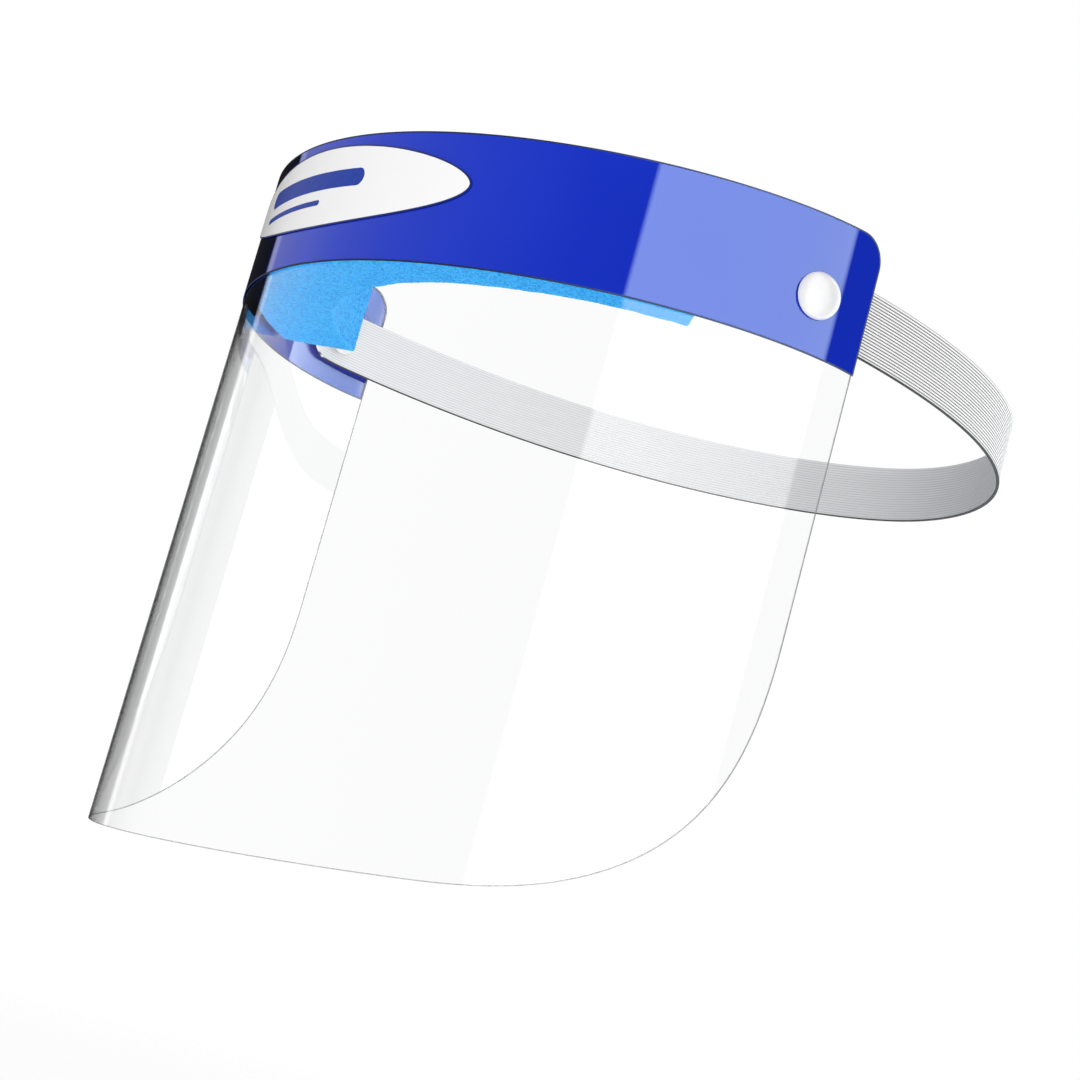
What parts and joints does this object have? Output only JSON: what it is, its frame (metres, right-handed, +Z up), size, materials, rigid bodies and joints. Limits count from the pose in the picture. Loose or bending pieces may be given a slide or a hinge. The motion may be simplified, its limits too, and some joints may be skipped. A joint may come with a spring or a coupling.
{
  "type": "face shield",
  "caption": "Face shield: a clear bent visor sheet with a translucent blue brow band, a foam forehead pad and an elastic headband that swivels on snap rivets.",
  "frame": {"origin": "centre of the foam pad's inner face, where the forehead rests", "axes": "+Z up, +Y from the forehead towards the back of the head, +X to the wearer's left"},
  "size_m": [0.2338, 0.2387, 0.197],
  "materials": {
    "clear_film": "gloss",
    "blue_film": "gloss",
    "white_label": "gloss",
    "tape": "matte",
    "foam": "matte",
    "elastic": "matte",
    "snap_plastic": "satin"
  },
  "bodies": {
    "shield": {"visor_sheet": "clear_film", "brow_band": "blue_film", "brow_label": "white_label", "foam_tape": "tape", "forehead_foam": "foam", "snap_cap_left": "snap_plastic", "snap_cap_right": "snap_plastic", "snap_socket_left": "snap_plastic", "snap_socket_right": "snap_plastic"},
    "headband": {"headband_strap": "elastic"}
  },
  "joints": [
    {"name": "headband_swivel", "type": "hinge", "parent": "shield", "child": "headband", "pos_m": [0, 0.05412, -0.003], "axis": [1, 0, 0], "range_deg": [-20, 20]}
  ]
}
